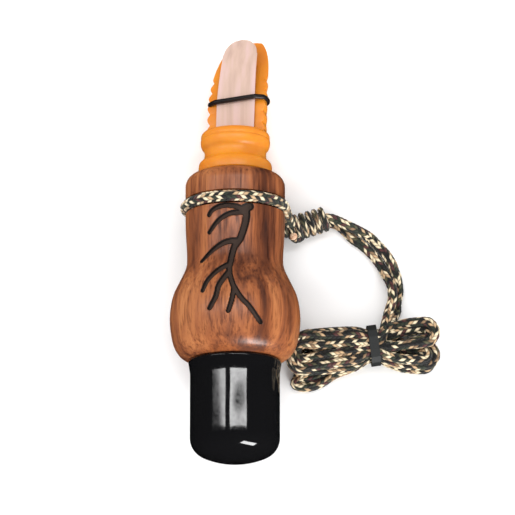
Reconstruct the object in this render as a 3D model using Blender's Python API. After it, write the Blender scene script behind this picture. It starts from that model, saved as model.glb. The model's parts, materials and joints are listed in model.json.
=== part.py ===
"""Grunt tube call: a turned wooden barrel with a vinyl end cap, a plastic mouthpiece with a reed, and a lanyard.

The call lies on a surface with its axis nearly along +Y, mouthpiece towards +Y, resting on its bulb and on the
lanyard's choker. The surface is z = 0. Stations along the call are measured from the end cap's pole.
"""

from math import asin, atan2, cos, degrees, pi, radians, sin, sqrt, tan

import bmesh
import bpy
from mathutils import Matrix, Vector

MM = 0.001
GAP = 0.3  # between pieces that touch

# Overall
MIDDLE_STATION = 65.5  # the station over the origin

# End cap
CAP_LENGTH = 30.7
CAP_WALL = 1.1
CAP_RIM_RADIUS = 13.85
CAP_DOME_RADIUS = 24.0
CAP_CORNER_RADIUS = 6.0
CAP_HOLE_RADIUS = 2.0
CAP_FLARE = 0.5
SPIGOT_CLEARANCE = 0.3
SPIGOT_LENGTH = 21.5

# Barrel
BARREL_LENGTH = 57.2  # from the end cap's rim to the mouthpiece's flange
BULB_RADIUS = 19.5
BULB_STATION = 43.4
WAIST_RADIUS = 14.4
NECK_RADIUS = 15.0
NECK_SHOULDER = 3.7
BORE_RADIUS = 8.5
SOCKET_DEPTH = 19.5
ENGRAVING_RADIUS = 1.3

# Lanyard
CORD_DIAMETER = 3.0
CHOKER_STATION = 78.0
CHOKER_SINK = 0.1  # how far the cord's centreline lies below the neck's surface
CORD_CLEARANCE = 0.3
KNOT_RADIUS = 4.3
HANK_HEIGHT = 12.0
HANK_EDGE = 3.0
TIE_WIDTH = 2.8
TIE_THICKNESS = 1.0
TIE_SPAN = 10.2  # across the hank, inside the tie

# Mouthpiece base
TENON_RADIUS = 9.6
TENON_LENGTH = 18.5
TENON_BORE_RADIUS = 7.1
SEAL_SECTION = 1.5
SEAL_GROOVE_DEPTH = 1.4
SEAL_GROOVE_WIDTH = 2.1
SEAL_OFFSETS = (4.2, 11.2)  # from the tenon's inner end
SOCKET_CLEARANCE = 0.5
FLANGE_RADIUS = 11.1
FLANGE_HEIGHT = 2.1
BASE_HEIGHT = 13.0  # from the flange to the collar's face
BASE_WAIST_RADIUS = 9.3
BEAD_RADIUS = 10.5

# Tone board and reed
BOARD_RADIUS = 9.3
BOARD_LENGTH = 30.8
BOARD_ROLL = 20.0  # degrees, as the board has been turned in the base
SHANK_LENGTH = 13.6
SHANK_CLEARANCE = 0.3
SEAT_HEIGHT = 0.5  # above the axis
SEAT_FLAT = 8.9  # from the collar's face to where the seat starts to fall away
SEAT_START_ANGLE = 14.0
SEAT_END_ANGLE = 27.5
CHANNEL_WIDTH = 6.4
CHANNEL_FLOOR = 4.2  # below the axis
CHANNEL_END_LAND = 5.5
SERRATION_PITCH = 3.5
SERRATION_DEPTH = 0.9
SERRATION_COUNT = 5
SERRATION_SPREAD = 35.0  # degrees round from the seat's edge
REED_WIDTH = 12.2
REED_TIP_WIDTH = 10.6
REED_THICKNESS = 0.4
REED_OVERHANG = 0.0
REED_DROOP = 8.0  # degrees
BAND_SECTION = 1.5
BAND_OFFSET = 10.3  # from the collar's face, at the board's middle
BAND_SLANT = 4.2  # degrees

# What follows from them
BARREL_START = CAP_LENGTH + GAP
BARREL_END = BARREL_START + BARREL_LENGTH
BASE_START = BARREL_END + GAP
COLLAR_FACE = BARREL_END + BASE_HEIGHT + GAP
TENON_START = BASE_START - TENON_LENGTH
SOCKET_START = BARREL_END - SOCKET_DEPTH
SPIGOT_RADIUS = CAP_RIM_RADIUS - CAP_FLARE - CAP_WALL - SPIGOT_CLEARANCE
SPIGOT_START = BARREL_START - SPIGOT_LENGTH
BOARD_START = COLLAR_FACE + GAP
BOARD_END = BOARD_START + BOARD_LENGTH
SHANK_START = BOARD_START - SHANK_LENGTH
SHANK_RADIUS = TENON_BORE_RADIUS - SHANK_CLEARANCE
SEAT_BREAK = COLLAR_FACE + SEAT_FLAT
REED_BOTTOM = SEAT_HEIGHT + GAP
REED_TOP = REED_BOTTOM + REED_THICKNESS
BAND_STATION = COLLAR_FACE + BAND_OFFSET
BAND_RADIUS = BOARD_RADIUS + GAP + BAND_SECTION / 2
BAND_CHORD = REED_TOP + GAP + BAND_SECTION / 2
CHOKER_RADIUS = NECK_RADIUS - CHOKER_SINK
CORD_RADIUS = CORD_DIAMETER / 2

# Places beside the call, in millimetres from the bulb's middle: +X right, +Y to the mouthpiece, then height
KNOT_FROM = (15.9, 29.8)
KNOT_TO = (28.2, 33.8)
OUTER_LEAD = [
    (29.2, 33.3, 5.2), (31.2, 32.6, 4.9), (34.3, 31.2, 4.6), (38.1, 29.6, 2.9), (41.0, 28.1, 1.6),
    (42.7, 26.3, 1.6), (44.5, 24.5, 1.6), (45.9, 22.8, 1.6), (47.0, 21.1, 1.6), (47.9, 19.4, 1.6),
    (48.4, 17.6, 1.6), (49.1, 15.8, 1.6), (49.6, 12.4, 1.6), (49.6, 10.7, 1.6), (49.3, 9.2, 1.7),
    (48.9, 7.0, 2.0), (48.6, 4.4, 2.4),
]
INNER_LEAD = [
    (29.6, 32.4, 1.8), (31.4, 31.7, 1.6), (33.5, 29.9, 1.6), (35.7, 27.6, 1.6), (38.0, 26.1, 1.6),
    (39.9, 24.5, 1.6), (41.8, 22.6, 1.6), (43.4, 20.6, 1.6), (44.7, 18.6, 1.8), (45.6, 16.5, 2.7),
    (46.7, 14.6, 3.6), (47.5, 12.4, 4.4), (47.7, 10.4, 4.9), (47.6, 8.3, 5.2), (47.0, 6.2, 5.4),
    (46.3, 3.9, 5.6),
]
HANK_OUTLINE = [
    (15.4, -11.4), (17.2, -5.8), (20.6, -2.0), (30.0, -0.7), (40.6, -0.2), (44.6, 0.6), (48.6, 2.1),
    (54.0, 2.0), (59.4, -0.8), (61.6, -5.2), (59.6, -10.2), (54.0, -12.6), (47.0, -12.2), (42.0, -11.0),
    (35.0, -13.0), (27.0, -14.6), (19.6, -15.6),
]
TIE_PLACE = (41.8, -5.8)
TIE_TURN = 8.0  # degrees

# Antler engraving: strokes over the barrel's top, each point as (x, station)
ANTLER = {
    "beam": [(3.6, 74.3), (3.3, 70.5), (1.7, 65.2), (-0.1, 62.5), (-1.3, 57.6), (-1.6, 53.9), (0.1, 47.0),
             (6.6, 42.3), (7.7, 38.2)],
    "brow": [(2.8, 73.8), (-1.2, 75.0), (-4.2, 74.8), (-7.9, 72.8)],
    "second": [(2.8, 73.0), (-3.3, 71.7), (-7.8, 67.7)],
    "third": [(0.8, 64.3), (-4.5, 63.2), (-10.2, 58.7)],
    "fourth": [(-1.4, 57.6), (-6.6, 53.2), (-9.8, 48.1)],
    "fifth": [(-1.8, 54.6), (-5.7, 47.3), (-7.6, 42.4)],
    "last": [(0.1, 47.0), (-2.1, 41.0)],
}


def material(name, colour, roughness, metallic=0.0):
    made = bpy.data.materials.new(name)
    made.use_nodes = True
    shader = made.node_tree.nodes["Principled BSDF"]
    shader.inputs["Base Color"].default_value = (*colour, 1.0)
    shader.inputs["Roughness"].default_value = roughness
    shader.inputs["Metallic"].default_value = metallic
    return made


def empty(name, parent=None):
    made = bpy.data.objects.new(name, None)
    bpy.context.scene.collection.objects.link(made)
    made.parent = parent
    return made


def mesh_object(name, bm, parent, surface):
    """Turns a bmesh, in millimetres, into a named object."""
    bmesh.ops.scale(bm, vec=(MM, MM, MM), verts=bm.verts)
    bmesh.ops.recalc_face_normals(bm, faces=bm.faces)
    mesh = bpy.data.meshes.new(name)
    bm.to_mesh(mesh)
    bm.free()
    mesh.shade_smooth()
    mesh.set_sharp_from_angle(angle=radians(35))
    made = bpy.data.objects.new(name, mesh)
    bpy.context.scene.collection.objects.link(made)
    made.parent = parent
    if surface:
        mesh.materials.append(surface)
    return made


def turned(name, profile, parent, surface, segments=40):
    """A closed profile of (station, radius) points, spun round the call's axis."""
    bm = bmesh.new()
    verts = [bm.verts.new((radius, station - MIDDLE_STATION, 0)) for station, radius in profile]
    edges = [bm.edges.new((verts[i - 1], verts[i])) for i in range(len(verts))]
    bmesh.ops.spin(
        bm, geom=verts + edges, cent=(0, 0, 0), axis=(0, 1, 0), angle=2 * pi, steps=segments, use_merge=True
    )
    bmesh.ops.remove_doubles(bm, verts=bm.verts, dist=1e-4)
    return mesh_object(name, bm, parent, surface)


def arc(station, radius, size, start, end, steps):
    """Points on a circle of the given size round (station, radius), by angles in degrees from +station."""
    angles = [radians(start + (end - start) * i / steps) for i in range(steps + 1)]
    return [(station + size * cos(a), radius + size * sin(a)) for a in angles]


def smooth(points, steps, closed=False):
    """A Catmull-Rom curve through the points."""
    count = len(points)
    spans = count if closed else count - 1
    curve = []
    for i in range(spans):
        if closed:
            a, b, c, d = (points[(i + k) % count] for k in (-1, 0, 1, 2))
        else:
            a, b, c, d = (points[min(max(i + k, 0), count - 1)] for k in (-1, 0, 1, 2))
        for j in range(steps):
            t = j / steps
            curve.append(tuple(
                0.5 * (2 * q + (r - p) * t + (2 * p - 5 * q + 4 * r - s) * t**2 + (3 * q - p - 3 * r + s) * t**3)
                for p, q, r, s in zip(a, b, c, d)
            ))
    if not closed:
        curve.append(tuple(points[-1]))
    return curve


def cut(target, cutter):
    """Subtracts the cutter from the target."""
    cutter.hide_render = True
    cutter.display_type = "WIRE"
    modifier = target.modifiers.new(cutter.name, "BOOLEAN")
    modifier.operation = "DIFFERENCE"
    modifier.solver = "EXACT"
    modifier.object = cutter


def tube(name, points, diameter, parent, surface, cyclic=False, thinning=None):
    """A round cord or stroke along points, in millimetres."""
    curve = bpy.data.curves.new(name, "CURVE")
    curve.dimensions = "3D"
    curve.bevel_depth = diameter / 2 * MM
    curve.bevel_resolution = 2
    curve.use_fill_caps = not cyclic
    spline = curve.splines.new("POLY")
    spline.points.add(len(points) - 1)
    for i, (point, place) in enumerate(zip(spline.points, points)):
        point.co = (*(Vector(place) * MM), 1.0)
        point.radius = thinning(i / (len(points) - 1)) if thinning else 1.0
    spline.use_cyclic_u = cyclic
    if surface:
        curve.materials.append(surface)
    made = bpy.data.objects.new(name, curve)
    bpy.context.scene.collection.objects.link(made)
    made.parent = parent
    return made


def barrel_outline():
    """The barrel's outside from the end cap's rim to the mouthpiece's flange."""
    foot = BARREL_START
    shoulder = BARREL_END - NECK_SHOULDER
    stations = [
        (foot, CAP_RIM_RADIUS + 0.15),
        (foot + 0.16 * (BULB_STATION - foot), BULB_RADIUS - 2.7),
        (foot + 0.45 * (BULB_STATION - foot), BULB_RADIUS - 0.9),
        (BULB_STATION, BULB_RADIUS),
        (BULB_STATION + 6.6, BULB_RADIUS - 0.8),
        (BULB_STATION + 11.8, (BULB_RADIUS + WAIST_RADIUS) / 2 - 0.5),
        (BULB_STATION + 15.5, WAIST_RADIUS + 0.4),
        (BULB_STATION + 19.1, WAIST_RADIUS),
        (BULB_STATION + 28.6, NECK_RADIUS - 0.1),
        (shoulder, NECK_RADIUS),
    ]
    groove = CORD_RADIUS + CORD_CLEARANCE
    half = sqrt(groove**2 - CHOKER_SINK**2)
    body = [p for p in smooth(stations, 3) if abs(p[0] - CHOKER_STATION) > half + 0.6]
    start = degrees(atan2(CHOKER_SINK, -half))
    sweep = 360 - start + degrees(atan2(CHOKER_SINK, half))
    channel = arc(CHOKER_STATION, CHOKER_RADIUS, groove, start, start + sweep, 8)
    before = [p for p in body if p[0] < CHOKER_STATION]
    after = [p for p in body if p[0] > CHOKER_STATION and p[0] < shoulder - 0.01]
    return before + channel + after + arc(shoulder, NECK_RADIUS - NECK_SHOULDER, NECK_SHOULDER, 90, 0, 5)


def resting_pose():
    """The tilt, and the axis's height at the middle station, at which bulb and choker both touch the surface."""
    bulb = [p for p in barrel_outline() if p[0] < CHOKER_STATION - CORD_DIAMETER]

    def depths(tilt):
        below = max(r * cos(tilt) + (s - MIDDLE_STATION) * sin(tilt) for s, r in bulb)
        choker = CHOKER_RADIUS * cos(tilt) + (CHOKER_STATION - MIDDLE_STATION) * sin(tilt) + CORD_RADIUS
        return below, choker

    low, high = 0.0, radians(15)
    for _ in range(40):
        tilt = (low + high) / 2
        below, choker = depths(tilt)
        low, high = (tilt, high) if below > choker else (low, tilt)
    return tilt, below


def surface_radius(station):
    """The barrel's outer radius at a station, leaving out the lanyard's groove."""
    outline = [p for p in barrel_outline() if abs(p[0] - CHOKER_STATION) > CORD_DIAMETER]
    for (s0, r0), (s1, r1) in zip(outline, outline[1:]):
        if s0 <= station <= s1:
            return r0 + (r1 - r0) * (station - s0) / (s1 - s0)
    return NECK_RADIUS


TILT, AXIS_HEIGHT = resting_pose()


def make_barrel(call, wood):
    socket = TENON_RADIUS + SOCKET_CLEARANCE
    chamfer = 0.6
    profile = [
        (SPIGOT_START, BORE_RADIUS),
        (SPIGOT_START, SPIGOT_RADIUS - chamfer),
        (SPIGOT_START + chamfer, SPIGOT_RADIUS),
        (BARREL_START, SPIGOT_RADIUS),
        *barrel_outline(),
        (BARREL_END, socket),
        (SOCKET_START, socket),
        (SOCKET_START, BORE_RADIUS),
    ]
    barrel = turned("barrel", profile, call, wood, 48)
    for name, route in ANTLER.items():
        points = []
        for x, station in smooth(route, 3):
            radius = surface_radius(station) + 0.1
            points.append((x, station - MIDDLE_STATION, sqrt(radius**2 - x**2)))
        thickness = 2 * ENGRAVING_RADIUS * (1.0 if name == "beam" else 0.9)
        stroke = tube("stroke_curve", points, thickness, None, None, thinning=lambda t: 1.0 - 0.4 * t)
        mesh = bpy.data.meshes.new_from_object(stroke)
        bpy.data.objects.remove(stroke)
        cutter = bpy.data.objects.new(f"engraving_{name}", mesh)
        bpy.context.scene.collection.objects.link(cutter)
        cutter.parent = call
        cut(barrel, cutter)


def make_end_cap(call, vinyl):
    straight = CAP_RIM_RADIUS - CAP_FLARE

    def shell(inset):
        """The cap's wall line, inset from its outer face, from the hole to the rim."""
        dome = CAP_DOME_RADIUS - inset
        corner = CAP_CORNER_RADIUS - inset
        reach = CAP_DOME_RADIUS - CAP_CORNER_RADIUS
        centre_radius = straight - CAP_CORNER_RADIUS
        lean = asin(centre_radius / reach)
        centre_station = CAP_DOME_RADIUS - reach * cos(lean)
        start = asin(CAP_HOLE_RADIUS / dome)
        angles = [start + (lean - start) * i / 4 for i in range(4)]
        end = [(CAP_DOME_RADIUS - dome * cos(a), dome * sin(a)) for a in angles]
        return end + arc(centre_station, centre_radius, corner, 180 - degrees(lean), 90, 6)

    outside = shell(0) + [
        (CAP_LENGTH - 4.0, straight + 0.1),
        (CAP_LENGTH - 1.2, CAP_RIM_RADIUS),
        (CAP_LENGTH - 0.3, CAP_RIM_RADIUS),
        (CAP_LENGTH, CAP_RIM_RADIUS - 0.3),
    ]
    inside = shell(CAP_WALL) + [(CAP_LENGTH, straight - CAP_WALL)]
    turned("end_cap", outside + inside[::-1], call, vinyl)


def make_mouthpiece_base(call, plastic, rubber):
    edge = 0.4
    groove_radius = TENON_RADIUS - SEAL_GROOVE_DEPTH
    tenon = [(TENON_START, TENON_RADIUS - edge), (TENON_START + edge, TENON_RADIUS)]
    for i, offset in enumerate(SEAL_OFFSETS):
        left = TENON_START + offset - SEAL_GROOVE_WIDTH / 2
        right = left + SEAL_GROOVE_WIDTH
        tenon += [(left, TENON_RADIUS), (left, groove_radius), (right, groove_radius), (right, TENON_RADIUS)]
        seal_radius = groove_radius + 0.15 + SEAL_SECTION / 2
        middle = TENON_START + offset
        name = ("tenon_seal_inner", "tenon_seal_outer")[i]
        turned(name, arc(middle, seal_radius, SEAL_SECTION / 2, 0, 300, 5), call, rubber, 32)
    lip = BASE_START + FLANGE_HEIGHT
    face = COLLAR_FACE
    flange = [
        (BASE_START, TENON_RADIUS),
        (BASE_START, FLANGE_RADIUS),
        (lip, FLANGE_RADIUS),
        (lip + 1.1, FLANGE_RADIUS - 0.25),
        (lip + 1.7, FLANGE_RADIUS - 0.6),
        (lip + 2.3, BASE_WAIST_RADIUS + 0.55),
        (lip + 3.0, BASE_WAIST_RADIUS + 0.1),
        (face - 6.7, BASE_WAIST_RADIUS),
        (face - 5.6, BASE_WAIST_RADIUS + 0.25),
        (face - 4.6, BEAD_RADIUS - 0.3),
        (face - 2.9, BEAD_RADIUS),
        (face - 1.1, BEAD_RADIUS - 0.15),
        (face - 0.4, BEAD_RADIUS - 0.6),
        (face, BEAD_RADIUS - 1.3),
    ]
    bore = [(face, TENON_BORE_RADIUS), (TENON_START, TENON_BORE_RADIUS)]
    turned("mouthpiece_base", tenon + flange + bore, call, plastic)


def seat_height(station):
    """The reed seat's height over the board's axis: flat, then falling away ever more steeply."""
    run = max(0.0, station - SEAT_BREAK)
    first = tan(radians(SEAT_START_ANGLE))
    last = tan(radians(SEAT_END_ANGLE))
    return SEAT_HEIGHT - first * run - (last - first) / 2 * run**2 / (BOARD_END - SEAT_BREAK)


def make_tone_board(board, plastic):
    serrated = SERRATION_PITCH * SERRATION_COUNT
    first = BOARD_START + 1.0
    sections = [(SHANK_START, SHANK_RADIUS), (BOARD_START, SHANK_RADIUS), (BOARD_START + 0.4, BOARD_RADIUS)]
    sections += [(first + SERRATION_PITCH * i / 4, BOARD_RADIUS) for i in range(4 * SERRATION_COUNT + 1)]
    rest = BOARD_END - first - serrated
    sections += [(first + serrated + rest * i / 6, BOARD_RADIUS - 0.5 * (i == 6)) for i in range(1, 7)]
    steps = 14
    bm = bmesh.new()
    rings = []
    for station, radius in sections:
        edge = asin(seat_height(station) / radius)
        along = (station - first) / SERRATION_PITCH
        notch = (1 - cos(2 * pi * along)) / 2 if 0 < along < SERRATION_COUNT else 0
        ring = []
        for i in range(steps + 1):
            down = (pi + 2 * edge) * i / steps
            fade = max(0.0, 1 - degrees(min(down, pi + 2 * edge - down)) / SERRATION_SPREAD)
            size = radius - SERRATION_DEPTH * notch * fade
            angle = edge - down
            ring.append(bm.verts.new((size * cos(angle), station - MIDDLE_STATION, size * sin(angle))))
        rings.append(ring)
    for ring, following in zip(rings, rings[1:]):
        for i in range(steps + 1):
            j = (i + 1) % (steps + 1)
            bm.faces.new((ring[i], ring[j], following[j], following[i]))
    bm.faces.new(rings[0])
    bm.faces.new(rings[-1][::-1])
    tone_board = mesh_object("tone_board", bm, board, plastic)

    start = SHANK_START - 2
    end = BOARD_END - CHANNEL_END_LAND
    bm = bmesh.new()
    half = CHANNEL_WIDTH / 2
    outline = [(-half, start), (half, start)]
    outline += [(r, s) for s, r in arc(end - half, 0, half, 90, -90, 8)]
    lower = [bm.verts.new((x, s - MIDDLE_STATION, -CHANNEL_FLOOR)) for x, s in outline]
    face = bm.faces.new(lower)
    lifted = bmesh.ops.extrude_face_region(bm, geom=[face])
    verts = [v for v in lifted["geom"] if isinstance(v, bmesh.types.BMVert)]
    bmesh.ops.translate(bm, vec=(0, 0, CHANNEL_FLOOR + BOARD_RADIUS), verts=verts)
    cut(tone_board, mesh_object("channel_cutter", bm, board, None))


def plate(name, outline, bottom, top, parent, surface):
    """An outline of (x, y) points, raised from bottom to top."""
    bm = bmesh.new()
    face = bm.faces.new([bm.verts.new((x, y, bottom)) for x, y in outline])
    lifted = bmesh.ops.extrude_face_region(bm, geom=[face])
    verts = [v for v in lifted["geom"] if isinstance(v, bmesh.types.BMVert)]
    bmesh.ops.translate(bm, vec=(0, 0, top - bottom), verts=verts)
    return mesh_object(name, bm, parent, surface)


def make_reed(board, reed_hinge, mylar, plastic):
    half = REED_WIDTH / 2
    start = SHANK_START + 0.8 - MIDDLE_STATION
    line = BAND_STATION - MIDDLE_STATION
    outline = [(-half, start), (half, start), (half, line - GAP / 2), (-half, line - GAP / 2)]
    plate("reed_root", outline, REED_BOTTOM, REED_TOP, board, mylar)

    tip = REED_TIP_WIDTH / 2
    length = (BOARD_END + REED_OVERHANG - BAND_STATION) / cos(radians(REED_DROOP))
    blade = [(-half, GAP / 2), (half, GAP / 2)]
    blade += [(tip * cos(a), length - tip + tip * sin(a)) for a in (pi * i / 12 for i in range(13))]
    plate("reed_blade", blade, 0.0, REED_THICKNESS, reed_hinge, mylar)

    wedge_bottom = REED_TOP + GAP
    lean = asin(wedge_bottom / SHANK_RADIUS)
    steps = 12
    angles = [lean + (pi - 2 * lean) * i / steps for i in range(steps + 1)]
    bm = bmesh.new()
    section = [bm.verts.new((SHANK_RADIUS * cos(a), start, SHANK_RADIUS * sin(a))) for a in angles]
    face = bm.faces.new(section)
    lifted = bmesh.ops.extrude_face_region(bm, geom=[face])
    verts = [v for v in lifted["geom"] if isinstance(v, bmesh.types.BMVert)]
    bmesh.ops.translate(bm, vec=(0, COLLAR_FACE - 0.5 - MIDDLE_STATION - start, 0), verts=verts)
    mesh_object("reed_wedge", bm, board, plastic)


def make_tuning_band(board, rubber):
    """An O-ring stretched over the reed and round under the board, a little slanted."""
    count = 40
    sharpness = 8
    points = []
    for i in range(count):
        angle = 2 * pi * i / count
        size = BAND_RADIUS
        if sin(angle) > 0.01:
            size = (BAND_RADIUS**-sharpness + (BAND_CHORD / sin(angle))**-sharpness)**(-1 / sharpness)
        x = size * cos(angle)
        points.append((x, BAND_STATION - MIDDLE_STATION + x * tan(radians(BAND_SLANT)), size * sin(angle)))
    tube("tuning_band", points, BAND_SECTION, board, rubber, cyclic=True)


def beside(place, height=None):
    """A place given from the bulb's middle, in millimetres in the world."""
    bulb_y = (BULB_STATION - MIDDLE_STATION) * cos(TILT)
    return (place[0], place[1] + bulb_y, place[2] if height is None else height)


def make_lanyard(call, cord, rubber):
    count = 40
    ring = []
    for i in range(count):
        a = 2 * pi * i / count
        ring.append((CHOKER_RADIUS * cos(a), CHOKER_STATION - MIDDLE_STATION, CHOKER_RADIUS * sin(a)))
    tube("lanyard_choker", ring, CORD_DIAMETER, call, cord, cyclic=True)

    start = Vector(beside(KNOT_FROM, KNOT_RADIUS))
    end = Vector(beside(KNOT_TO, KNOT_RADIUS))
    along = end - start
    rounding = 1.2
    profile = [(0, 0.0), (0, KNOT_RADIUS - rounding), (rounding, KNOT_RADIUS)]
    profile += [(along.length - rounding, KNOT_RADIUS), (along.length, KNOT_RADIUS - rounding), (along.length, 0.0)]
    bm = bmesh.new()
    verts = [bm.verts.new((radius, 0, station)) for station, radius in profile]
    edges = [bm.edges.new(pair) for pair in zip(verts, verts[1:])]
    bmesh.ops.spin(
        bm, geom=verts + edges, cent=(0, 0, 0), axis=(0, 0, 1), angle=2 * pi, steps=20, use_merge=True
    )
    bmesh.ops.remove_doubles(bm, verts=bm.verts, dist=1e-4)
    bmesh.ops.rotate(bm, verts=bm.verts, matrix=along.to_track_quat("Z", "Y").to_matrix())
    bmesh.ops.translate(bm, verts=bm.verts, vec=start)
    mesh_object("lanyard_knot", bm, None, cord)

    for name, route in (("lanyard_lead_outer", OUTER_LEAD), ("lanyard_lead_inner", INNER_LEAD)):
        points = [beside(p) for p in smooth(route, 2)]
        tube(name, points, CORD_DIAMETER, None, cord)
    make_hank(cord, rubber)


def tie_loop(name, span, height, wall, width, surface):
    """A rounded rectangular band round the hank, from its inside's span and height and its wall."""
    place = beside(TIE_PLACE, HANK_HEIGHT / 2)
    corner = 3.0
    bm = bmesh.new()
    rings = []
    for grow in (0.0, wall):
        half = span / 2 - corner
        rise = height / 2 - corner
        section = []
        for cy, cz, first in ((1, 1, 0), (-1, 1, 90), (-1, -1, 180), (1, -1, 270)):
            for step in range(4):
                a = radians(first + 30 * step)
                section.append((cy * half + (corner + grow) * cos(a), cz * rise + (corner + grow) * sin(a)))
        for x in (-width / 2, width / 2):
            rings.append([bm.verts.new((x, y, z)) for y, z in section])
    inner_left, inner_right, outer_left, outer_right = rings
    round_the_wall = (inner_left, inner_right, outer_right, outer_left, inner_left)
    for a, b in zip(round_the_wall, round_the_wall[1:]):
        for i in range(len(a)):
            bm.faces.new((a[i - 1], a[i], b[i], b[i - 1]))
    bmesh.ops.rotate(bm, verts=bm.verts, matrix=Matrix.Rotation(radians(TIE_TURN), 3, "Z"))
    bmesh.ops.translate(bm, verts=bm.verts, vec=place)
    return mesh_object(name, bm, None, surface)


def make_hank(cord, rubber):
    outline = [beside(p, 0)[:2] for p in smooth(HANK_OUTLINE, 2, closed=True)]
    bm = bmesh.new()
    face = bm.faces.new([bm.verts.new((x, y, 0)) for x, y in outline])
    lifted = bmesh.ops.extrude_face_region(bm, geom=[face])
    verts = [v for v in lifted["geom"] if isinstance(v, bmesh.types.BMVert)]
    bmesh.ops.translate(bm, vec=(0, 0, HANK_HEIGHT), verts=verts)
    rims = [e for e in bm.edges if abs(e.verts[0].co.z - e.verts[1].co.z) < 1e-6]
    bmesh.ops.bevel(bm, geom=rims, offset=HANK_EDGE, segments=3, profile=0.5, affect="EDGES")
    hank = mesh_object("lanyard_hank", bm, None, cord)
    height = HANK_HEIGHT - 2 * (TIE_THICKNESS + GAP)
    tie_loop("hank_tie", TIE_SPAN, height, TIE_THICKNESS, TIE_WIDTH, rubber)
    waist = tie_loop("waist_cutter", TIE_SPAN - 2 * GAP, height - 2 * GAP, 6.0, TIE_WIDTH + 2 * GAP, None)
    cut(hank, waist)


def main():
    for old in list(bpy.data.objects):
        bpy.data.objects.remove(old)
    call = empty("call_axis")
    call.location = (0, 0, AXIS_HEIGHT * MM)
    call.rotation_euler.x = -TILT
    board = empty("tone_board_axis", call)
    board.rotation_euler.y = -radians(BOARD_ROLL)
    reed_hinge = empty("reed_hinge", board)
    reed_hinge.location = (0, (BAND_STATION - MIDDLE_STATION) * MM, REED_BOTTOM * MM)
    reed_hinge.rotation_euler.x = -radians(REED_DROOP)

    wood = material("walnut", (0.16, 0.05, 0.02), 0.35)
    vinyl = material("black_vinyl", (0.006, 0.006, 0.006), 0.15)
    plastic = material("orange_plastic", (1.0, 0.26, 0.01), 0.3)
    mylar = material("frosted_mylar", (0.85, 0.66, 0.58), 0.4)
    rubber = material("black_rubber", (0.02, 0.012, 0.012), 0.45)
    cord = material("camo_cord", (0.22, 0.17, 0.1), 0.8)

    make_barrel(call, wood)
    make_end_cap(call, vinyl)
    make_mouthpiece_base(call, plastic, rubber)
    make_tone_board(board, plastic)
    make_reed(board, reed_hinge, mylar, plastic)
    make_tuning_band(board, rubber)
    make_lanyard(call, cord, rubber)


main()
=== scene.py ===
"""Grunt tube call with its lanyard: the looks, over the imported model.

Lengths are in millimetres until the pieces are built.
"""

import json
import random
from math import asin, cos, degrees, pi, radians, sin, sqrt, tan

import bmesh
import bpy
from mathutils import Matrix, Vector


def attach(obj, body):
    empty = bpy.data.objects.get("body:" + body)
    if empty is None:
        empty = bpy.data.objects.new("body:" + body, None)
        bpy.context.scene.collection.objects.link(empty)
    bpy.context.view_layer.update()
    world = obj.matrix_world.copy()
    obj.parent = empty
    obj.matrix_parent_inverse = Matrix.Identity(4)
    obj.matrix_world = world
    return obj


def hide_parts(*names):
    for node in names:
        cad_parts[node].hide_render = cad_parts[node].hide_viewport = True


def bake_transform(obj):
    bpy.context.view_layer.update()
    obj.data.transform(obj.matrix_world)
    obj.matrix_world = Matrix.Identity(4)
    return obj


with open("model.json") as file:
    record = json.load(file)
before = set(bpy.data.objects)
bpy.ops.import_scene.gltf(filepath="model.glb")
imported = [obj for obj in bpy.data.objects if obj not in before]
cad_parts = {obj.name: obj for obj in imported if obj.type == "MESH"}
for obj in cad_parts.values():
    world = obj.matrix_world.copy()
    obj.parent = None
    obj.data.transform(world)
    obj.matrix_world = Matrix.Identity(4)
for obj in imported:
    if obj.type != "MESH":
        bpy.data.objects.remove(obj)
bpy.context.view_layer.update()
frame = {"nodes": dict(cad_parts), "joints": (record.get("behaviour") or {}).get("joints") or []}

MM = 0.001
MIDDLE = 65.5  # the station over the origin; stations are measured along the call from the end cap's pole

# The call's axis, from the mouthpiece's slide, and its height over the origin, from the tone board's hinge
joints = {joint["name"]: joint for joint in frame["joints"]}
AXIS = Vector(joints["mouthpiece_pull"]["axis"]).normalized()
TILT = asin(-AXIS.z)
AXIS_HEIGHT = joints["tone_board_twist"]["pos_m"][2] / MM
CALL = Matrix.Translation((0, 0, AXIS_HEIGHT)) @ Matrix.Rotation(-TILT, 4, "X")
BULB_STATION = 43.4
BULB_Y = (BULB_STATION - MIDDLE) * cos(TILT)
GROOVE_STATION, GROOVE_CENTRE, GROOVE_SIZE = 78.0, 14.9, 2.05
CORD = 3.0

# The tone board is rolled about the call's axis, and points a little to the right of it
ROLL = radians(20.0)
YAW = radians(1.6)
PIVOT = Matrix.Translation((0, 95.0 - MIDDLE, 0))
BOARD = CALL @ PIVOT @ Matrix.Rotation(-YAW, 4, "Z") @ PIVOT.inverted() @ Matrix.Rotation(-ROLL, 4, "Y")


# Camera: above the call, leaning a little to the end cap's side
LENS, SENSOR, CAMERA_DISTANCE = 233, 36, 1.0
CAMERA_ELEVATION = radians(80.84)
AIM_X, AIM_STATION = 6.7, 62.8


def make_camera():
    data = bpy.data.cameras.new("camera")
    data.lens = LENS
    data.sensor_width = SENSOR
    camera = bpy.data.objects.new("camera", data)
    bpy.context.scene.collection.objects.link(camera)
    aim = CALL @ Vector((AIM_X, AIM_STATION - MIDDLE, 0)) * MM
    away = Vector((0, -cos(CAMERA_ELEVATION), sin(CAMERA_ELEVATION)))
    camera.location = aim + away * CAMERA_DISTANCE
    camera.rotation_euler = (-away).to_track_quat("-Z", "Y").to_euler()
    bpy.context.scene.camera = camera
    return camera


camera = make_camera()


# Shared modelling helpers
def catmull_rom(t, p, q, r, s):
    line = (r - p) * t
    square = (2 * p - 5 * q + 4 * r - s) * t**2
    cube = (3 * q - p - 3 * r + s) * t**3
    return 0.5 * (2 * q + line + square + cube)


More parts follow.
